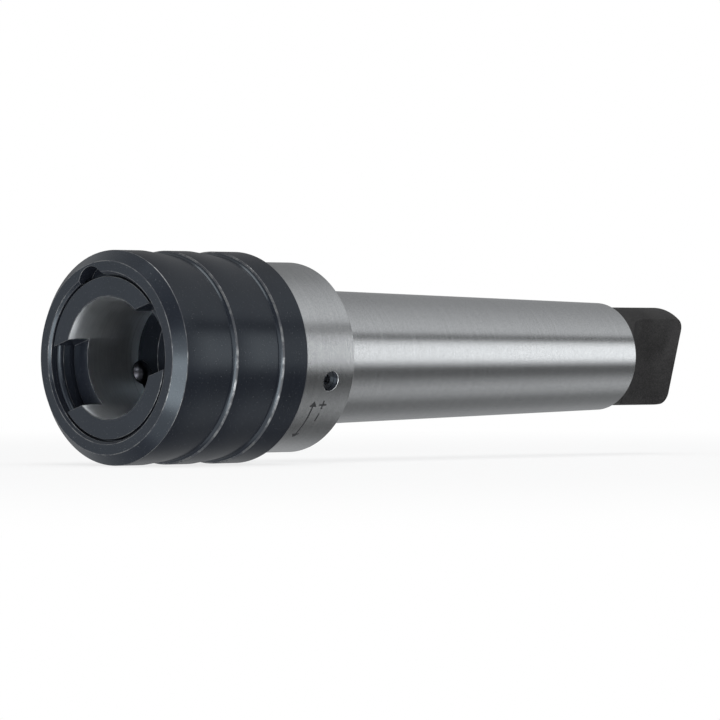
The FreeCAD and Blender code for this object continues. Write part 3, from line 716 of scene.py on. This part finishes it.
def plain_metal(name, rgb, roughness, pitch=None):
    """Bright turned or drawn metal with fine lines and small changes of tone."""
    shader = Shader(name)
    finish = settings().finish
    where = shader.place()
    lines = turning_lines(shader, where, pitch or finish.drawn_lines)
    clouds = shader.noise(where, METAL_CLOUDS)
    shader.set(
        Base_Color=shader.mix(clouds * 0.5 + lines * 0.5, tint(rgb, 0.85), tint(rgb, 1.1)),
        Metallic=1.0,
        Roughness=roughness + lines * 0.1,
        Normal=shader.bump(lines, finish.drawn_relief, 0.5),
    )
    return shader.material


def spring_steel():
    return plain_metal("spring_steel", settings().finish.spring, 0.28)


def screw_steel():
    return plain_metal("screw_steel", settings().finish.screw, 0.22)


# Painted shade: the balls take that near-black colour, which stands in for the shade on them inside the
# socket
def ball_steel():
    return plain_metal("ball_steel", settings().finish.ball, 0.20, settings().finish.ball_lines)


def bronze():
    return plain_metal("bronze", settings().finish.bronze, 0.32)


def seal_rubber():
    shader = Shader("seal_rubber")
    finish = settings().finish
    where = shader.place()
    grain = shader.noise(where, RUBBER_GRAIN)
    shader.set(
        Base_Color=shader.mix(grain, tint(finish.rubber, 0.7), tint(finish.rubber, 1.5)),
        Roughness=0.55 + grain * 0.2,
        Normal=shader.bump(grain, finish.rubber_relief, 0.5),
    )
    return shader.material


MAKERS = {
    "black_steel": black_oxide,
    "worn_edge": worn_edge,
    "ground_bore": ground_bore,
    "ground_steel": ground_steel,
    "spring_steel": spring_steel,
    "screw_steel": screw_steel,
    "ball_steel": ball_steel,
    "bronze": bronze,
    "seal_rubber": seal_rubber,
}


def finish_of(slot):
    """The material of a slot, made once."""
    made = bpy.data.materials.get(f"finish_{slot}")
    if made is None:
        made = MAKERS[slot]()
        made.name = f"finish_{slot}"
    return made


def dress(piece, *finishes):
    piece.data.materials.clear()
    for finish in finishes:
        piece.data.materials.append(finish_of(finish))


def fit(piece, body, slot, *nodes):
    """Rides a piece on its body and stands for these nodes; the slot argument is not used."""
    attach(piece, body)
    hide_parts(*nodes)


class TAPHEAD_OT_sleeve(Operator):
    """Release sleeve with its grip grooves and pry pocket"""

    bl_idname = "taphead.sleeve"
    bl_label = "Release Sleeve"

    def heels(self, sleeve):
        """Stations where the hollow walls of the grip grooves begin."""
        first = SLEEVE_FRONT + sleeve.grip_first + sleeve.grip_ramp + sleeve.grip_root
        return [first + i * sleeve.grip_pitch for i in range(sleeve.grip_count)]

    def outside(self, sleeve):
        root = sleeve.radius - sleeve.grip_depth
        corners = [
            (SLEEVE_FRONT, sleeve.radius - sleeve.chamfer),
            (SLEEVE_FRONT + sleeve.chamfer, sleeve.radius),
        ]
        for heel in self.heels(sleeve):
            foot = heel - sleeve.grip_root
            corners += [(foot - sleeve.grip_ramp, sleeve.radius), (foot, root), (heel, root)]
            for step in range(1, sleeve.wall_steps + 1):
                way = step / sleeve.wall_steps
                corners.append((heel + way * sleeve.grip_wall, root + way * way * sleeve.grip_depth))
        return corners + [
            (SLEEVE_BACK - sleeve.edge, sleeve.radius),
            (SLEEVE_BACK, sleeve.radius - sleeve.edge),
        ]

    def inside(self, sleeve):
        ring_front = SLEEVE_FRONT + sleeve.lip_length
        ring_back = ring_front + sleeve.ring_groove
        guide_end = ring_back + sleeve.guide_length
        land = SLEEVE_FRONT + sleeve.land_front
        step = SLEEVE_FRONT + sleeve.skirt_front
        return [
            (SLEEVE_BACK, sleeve.skirt_radius + sleeve.edge),
            (SLEEVE_BACK - sleeve.edge, sleeve.skirt_radius),
            (step, sleeve.skirt_radius),
            (step, sleeve.land_radius),
            (land, sleeve.land_radius),
            (land - sleeve.ramp, sleeve.pocket_radius),
            (guide_end, sleeve.pocket_radius),
            (guide_end, sleeve.guide_radius),
            (ring_back, sleeve.guide_radius),
            (ring_back, sleeve.ring_radius),
            (ring_front, sleeve.ring_radius),
            (ring_front, sleeve.lip_radius),
            (SLEEVE_FRONT + sleeve.lip_edge, sleeve.lip_radius),
            (SLEEVE_FRONT, sleeve.lip_radius + sleeve.lip_edge),
        ]

    def rub_walls(self, piece, sleeve):
        """Worn finish at the top of each groove's hollow wall."""
        outer = [face for face in piece.data.polygons if face.center.yz.length > sleeve.skirt_radius]
        for heel in self.heels(sleeve):
            for face in outer:
                if sleeve.rubbed * sleeve.grip_wall < face.center.x - heel < sleeve.grip_wall:
                    face.material_index = EDGE_SLOT

    def execute(self, context):
        sleeve = settings().sleeve
        piece = new_piece("release_sleeve_shell", turned(self.outside(sleeve) + self.inside(sleeve)))
        stations = SLEEVE_FRONT - MM, SLEEVE_FRONT + sleeve.lip_length + sleeve.ring_groove
        ends = [on_clock(x, sleeve.pocket_offset, sleeve.pocket_clock) for x in stations]
        cut(piece, [rod_between(*ends, sleeve.pocket_hole)])
        break_edges(piece)
        dress(piece, "black_steel", "worn_edge")
        self.rub_walls(piece, sleeve)
        fit(piece, "sleeve", "black_steel", "release_sleeve")
        return {"FINISHED"}


class TAPHEAD_OT_spindle(Operator):
    """Floating spindle with its socket, drive slots, ball holes and grooved tail"""

    bl_idname = "taphead.spindle"
    bl_label = "Floating Spindle"

    def outline(self, spindle):
        tail_end = SPINDLE_BOX[1][0]
        mouth = NOSE + spindle.mouth_chamfer
        land_end = mouth + spindle.land_length
        ease_end = land_end + spindle.ease_length
        seat_front, seat_back = SEAT_RING_BOX[0][0], SEAT_RING_BOX[1][0] + spindle.seat_gap
        return [
            (NOSE, spindle.mouth_radius),
            (NOSE, spindle.radius),
            (NOSE + spindle.flange, spindle.radius),
            (NOSE + spindle.flange, spindle.relief_radius),
            (NOSE + spindle.relief_end, spindle.relief_radius),
            (NOSE + spindle.relief_end, spindle.radius),
            (seat_front, spindle.radius),
            (seat_front, spindle.seat_radius),
            (seat_back, spindle.seat_radius),
            (seat_back, spindle.radius),
            (NOSE + spindle.head_length, spindle.radius),
            (NOSE + spindle.head_length, spindle.tail_radius),
            (tail_end, spindle.tail_radius),
            (tail_end, spindle.web_hole),
            (tail_end - spindle.web, spindle.web_hole),
            (tail_end - spindle.web, spindle.hollow_radius),
            (NOSE + spindle.socket_depth, spindle.hollow_radius),
            (NOSE + spindle.socket_depth, spindle.undercut_radius),
            (ease_end, spindle.undercut_radius),
            (ease_end, spindle.ease_radius),
            (land_end, spindle.ease_radius),
            (land_end, spindle.socket_radius),
            (mouth, spindle.socket_radius),
        ]

    def slot_cutter(self, spindle):
        turn = Matrix.Rotation(spindle.slot_clock, 3, "X")
        depth = spindle.slot_depth + MM
        centre = Vector((NOSE + spindle.slot_depth - depth / 2, 0, 0))
        return block(centre, (depth, spindle.slot_width, 4 * spindle.radius), turn)

    def ball_cutters(self, spindle):
        made = []
        for clock in clocks(spindle.ball_clock, spindle.ball_count):
            seat = on_clock(NOSE + spindle.ball_station, spindle.ball_at - spindle.ball_clear, clock)
            far = on_clock(NOSE + spindle.ball_station, spindle.radius + MM, clock)
            made.append(round_ended(seat, far, spindle.ball_radius + spindle.ball_clear, BALL_ROWS))
        return made

    def groove_cutters(self, spindle):
        made = []
        front = TORQUE_BOX[0][0] + spindle.torque_ball - spindle.groove_ahead
        back = TORQUE_BOX[1][0] - spindle.torque_ball + spindle.groove_behind
        ring = spindle.tail_radius + spindle.torque_ring
        for clock in clocks(spindle.groove_clock, spindle.groove_count):
            ends = on_clock(front, ring, clock), on_clock(back, ring, clock)
            made.append(round_ended(*ends, spindle.groove_radius, GROOVE_ROWS))
        return made

    def bare_bore(self, piece, spindle):
        """Third finish inside the socket, from the mouth's chamfer to the balls."""
        end = NOSE + spindle.mouth_chamfer + spindle.land_length + spindle.ease_length
        for face in piece.data.polygons:
            if face.center.yz.length < spindle.mouth_radius and face.center.x < end:
                face.material_index = WALL_SLOT

    def execute(self, context):
        spindle = settings().spindle
        piece = new_piece("float_spindle_turned", turned(self.outline(spindle)))
        cut(piece, [self.slot_cutter(spindle)] + self.ball_cutters(spindle) + self.groove_cutters(spindle))
        break_edges(piece, NOSE + spindle.head_length + MM)
        dress(piece, "black_steel", "worn_edge", "ground_bore")
        self.bare_bore(piece, spindle)
        fit(piece, "spindle", "black_steel", "float_spindle")
        return {"FINISHED"}


class TAPHEAD_OT_shank(Operator):
    """Shank with its collar, ground taper and flat tang"""

    bl_idname = "taphead.shank"
    bl_label = "Taper Shank"

    def outline(self, shank):
        front, end = SHANK_BOX[0][0], SHANK_BOX[1][0]

        def taper(x):
            return shank.gauge_radius - x * shank.taper_rate / 2

        floor = BUSH_BOX[0][0] - shank.clip_width - shank.counterbore_lead
        clip_front = floor + shank.counterbore_lead - shank.clip_gap
        bush_radius = BUSH_BOX[1][2]
        bolt_end = BOLT_BOX[1][0] + shank.thread_spare
        return [
            (front, shank.collar_radius - shank.collar_edge),
            (front + shank.collar_edge, shank.collar_radius),
            (shank.collar_back - shank.collar_edge, shank.collar_radius),
            (shank.collar_back, shank.collar_radius - shank.collar_edge),
            (shank.collar_back, taper(shank.collar_back)),
            (shank.taper_end, taper(shank.taper_end)),
            (shank.taper_end, shank.tang_radius),
            (end, shank.tang_radius, shank.tang_round),
            (end, shank.centre_mouth),
            (end - shank.centre_cone, shank.centre_radius),
            (end - shank.centre_depth, shank.centre_radius),
            (end - shank.centre_depth, shank.axis_gap),
            (bolt_end + shank.drill_point, shank.axis_gap),
            (bolt_end, shank.thread_radius),
            (SPRING_BOX[1][0], shank.thread_radius),
            (SPRING_BOX[1][0], shank.bore_radius),
            (BUSH_BOX[1][0], shank.bore_radius),
            (BUSH_BOX[1][0], bush_radius),
            (BUSH_BOX[0][0], bush_radius),
            (BUSH_BOX[0][0], shank.clip_radius),
            (clip_front, shank.clip_radius),
            (clip_front, bush_radius),
            (floor, bush_radius),
            (floor, shank.counterbore_radius),
            (front, shank.counterbore_radius),
        ]

    def tang_cutters(self, shank):
        """Milling wheel and block on each side of the tang."""
        end = SHANK_BOX[1][0]
        start = end - shank.tang_flat
        made = []
        reach = shank.tang_radius + shank.tang_cutter
        for side in (1, -1):
            normal = clock_direction(shank.tang_clock) * side
            across = Vector((1, 0, 0)).cross(normal)
            centre = Vector((start, 0, 0)) + normal * (shank.tang_half + shank.tang_cutter)
            ends = centre - across * reach, centre + across * reach
            made.append(rod_between(*ends, shank.tang_cutter, WHEEL_STEPS))
            middle = Vector(((start + end + MM) / 2, 0, 0)) + normal * (shank.tang_half + reach / 2)
            turn = Matrix.Rotation(shank.tang_clock, 3, "X")
            made.append(block(middle, (end + MM - start, 2 * reach, reach), turn))
        return made

    def paint_hole_shade(self, piece, shank):
        """Black oxide on the wall of the adjusting screw's hole, as painted shade for the dark inside of the
        hole.
        """
        middle = Vector((shank.screw_station, 0, 0))
        way = clock_direction(shank.screw_clock)
        reach = shank.screw_radius + shank.screw_fit
        corners = [v.co - middle for v in piece.data.vertices]
        near = [out.dot(way) > 0 and (out - way * out.dot(way)).length < reach for out in corners]
        for face in piece.data.polygons:
            if all(near[v] for v in face.vertices):
                face.material_index = WALL_SLOT

    def execute(self, context):
        shank = settings().shank
        piece = new_piece("shank_turned", turned(self.outline(shank)))
        depths = BUSH_BOX[1][2] - MM, shank.collar_radius + MM
        ends = [on_clock(shank.screw_station, depth, shank.screw_clock) for depth in depths]
        hole = rod_between(*ends, shank.screw_radius, HOLE_STEPS)
        cut(piece, self.tang_cutters(shank) + [hole])
        break_edges(piece)
        # The third slot's black oxide paints shade on the screw hole's wall
        dress(piece, "ground_steel", "ground_steel", "black_steel")
        self.paint_hole_shade(piece, shank)
        fit(piece, "shank", "ground_steel", "shank_body")
        return {"FINISHED"}


class TAPHEAD_OT_balls(Operator):
    """Locking balls in the spindle's radial holes"""

    bl_idname = "taphead.balls"
    bl_label = "Locking Balls"

    def execute(self, context):
        spindle = settings().spindle
        for i, clock in enumerate(clocks(spindle.ball_clock, spindle.ball_count), 1):
            name = f"locking_ball_{i}"
            centre = on_clock(NOSE + spindle.ball_station, spindle.ball_at, clock)
            piece = new_piece(f"{name}_ground", ball(centre, spindle.ball_radius))
            dress(piece, "ball_steel")
            fit(piece, name, "ball_steel", name)
        return {"FINISHED"}


class TAPHEAD_OT_small_parts(Operator):
    """Finishes of the pieces that keep their solid: springs, rings, washers, bush, seal and screws"""

    bl_idname = "taphead.small_parts"
    bl_label = "Small Parts"

    def execute(self, context):
        slots = {part["node"]: part["material_slot"] for part in frame["record"]["subparts"]}
        for node, piece in frame["nodes"].items():
            dress(piece, "screw_steel" if node == "adjusting_screw" else slots[node])
        return {"FINISHED"}


class TAPHEAD_OT_stage(Operator):
    """Floor, lamp, world and camera"""

    bl_idname = "taphead.stage"
    bl_label = "Studio Stage"

    def floor(self, stage):
        """White floor: it shows the shadow to the camera and stays out of the metal's reflections."""
        bm = bmesh.new()
        place = Matrix.Translation((0, 0, -stage.floor_drop))
        bmesh.ops.create_grid(bm, x_segments=1, y_segments=1, size=stage.floor_size, matrix=place)
        floor = placed("studio_floor", mesh_of("studio_floor", bm))
        floor.visible_glossy = floor.visible_diffuse = floor.visible_shadow = False
        paint = Shader("floor_paint")
        where = paint.stretch(paint.place(), (1 / stage.shadow_reach, 1 / stage.shadow_reach, 0))
        away = paint.node("ShaderNodeVectorMath", {"operation": "LENGTH"}, where, out=1)
        shown = paint.ramp(away, [(stage.shadow_full, stage.shadow), (1.0, 0.0)], smooth=True)
        lit = paint.node("ShaderNodeBsdfDiffuse", None, (1, 1, 1, 1))
        glow = paint.node("ShaderNodeEmission", None, (1, 1, 1, 1), 1.0)
        paint.show(paint.node("ShaderNodeMixShader", None, shown, glow, lit), "Material Output")
        floor.data.materials.append(paint.material)

    def bands(self, sky, turn, table):
        """Level by the angle round the axis, from (degrees, level) rows."""
        return sky.ramp(turn, [((degrees + 180) / 360, level) for degrees, level in table])

    def world(self, stage):
        """Studio round the object: bands of light by the angle round the axis, white to the camera."""
        world = bpy.data.worlds.new("studio")
        bpy.context.scene.world = world
        sky = Shader("studio", world)
        direction = sky.node("ShaderNodeTexCoord")
        x, y, z = sky.parts(direction)
        turn = sky.node("ShaderNodeMath", {"operation": "ARCTAN2"}, z, 0 - y) / (2 * math.pi) + 0.5
        walls = self.bands(sky, turn, STUDIO_WALLS)
        near = self.bands(sky, turn, STUDIO_NEAR)
        ends = self.bands(sky, turn, STUDIO_ENDS)
        side = sky.fade(x * 0.5 + 0.5, *stage.side_span, smooth=True)
        far = sky.fade(x, *stage.far_span, smooth=True)
        towards = sky.node(
            "ShaderNodeVectorMath", {"operation": "DOT_PRODUCT"}, direction, stage.fill_from, out=1
        )
        fill = sky.fade(towards, *stage.fill_span, smooth=True)
        front = sky.fade(0 - x, *stage.front_span, smooth=True)
        tang_side = (walls * far + near * (1 - far)) * side
        nose_side = ends * stage.ends * (1 - side)
        level = tang_side + nose_side + fill * stage.fill + front * stage.front
        light = sky.node("ShaderNodeBackground", None, (*stage.tone, 1.0), level * stage.studio)
        white = sky.node("ShaderNodeBackground", None, (1, 1, 1, 1), 1.0)
        seen = sky.node("ShaderNodeLightPath")
        sky.show(sky.node("ShaderNodeMixShader", None, seen, light, white), "World Output")

    def lamp(self, stage):
        data = bpy.data.lights.new("top_softbox", "AREA")
        data.shape, data.size, data.energy = "SQUARE", stage.lamp_size, stage.lamp_power
        lamp = placed("top_softbox", data)
        lamp.location = stage.lamp_place
        lamp.rotation_mode = "QUATERNION"
        lamp.rotation_quaternion = (-lamp.location).to_track_quat("-Z", "Y")

    def camera(self, stage):
        data = bpy.data.cameras.new("view_camera")
        data.lens, data.sensor_width, data.sensor_fit = stage.lens, stage.sensor, "HORIZONTAL"
        data.clip_start, data.clip_end = stage.nearest, stage.farthest
        camera = placed("view_camera", data)
        ahead = Vector(stage.ahead).normalized()
        right = ahead.cross(Vector((0, 0, 1))).normalized()
        up = right.cross(ahead)
        turn = Matrix((right, up, -ahead)).transposed().to_4x4()
        camera.matrix_world = Matrix.Translation(stage.eye) @ turn
        bpy.context.scene.camera = camera

    def execute(self, context):
        stage = settings().stage
        self.floor(stage)
        self.world(stage)
        self.lamp(stage)
        self.camera(stage)
        context.scene.view_settings.view_transform = "Standard"
        return {"FINISHED"}


class TapHeadSettings(PropertyGroup):
    sleeve: PointerProperty(type=SleeveSettings)
    spindle: PointerProperty(type=SpindleSettings)
    shank: PointerProperty(type=ShankSettings)
    finish: PointerProperty(type=FinishSettings)
    stage: PointerProperty(type=StageSettings)


STEPS = ("small_parts", "sleeve", "spindle", "shank", "balls", "stage")


class TAPHEAD_PT_panel(Panel):
    """Steps that build the tapping head"""

    bl_label = "Tapping Head"
    bl_idname = "TAPHEAD_PT_panel"
    bl_space_type = "VIEW_3D"
    bl_region_type = "UI"
    bl_category = "Tapping Head"

    def draw(self, context):
        for step in STEPS:
            self.layout.operator(f"taphead.{step}")


CLASSES = (
    SleeveSettings,
    SpindleSettings,
    ShankSettings,
    FinishSettings,
    StageSettings,
    TapHeadSettings,
    TAPHEAD_OT_sleeve,
    TAPHEAD_OT_spindle,
    TAPHEAD_OT_shank,
    TAPHEAD_OT_balls,
    TAPHEAD_OT_small_parts,
    TAPHEAD_OT_stage,
    TAPHEAD_PT_panel,
)


def register():
    for cls in CLASSES:
        bpy.utils.register_class(cls)
    bpy.types.Scene.tapping_head = PointerProperty(type=TapHeadSettings)


def unregister():
    del bpy.types.Scene.tapping_head
    for cls in reversed(CLASSES):
        bpy.utils.unregister_class(cls)


def main():
    register()
    for step in STEPS:
        getattr(bpy.ops.taphead, step)()


if __name__ == "__main__":
    main()
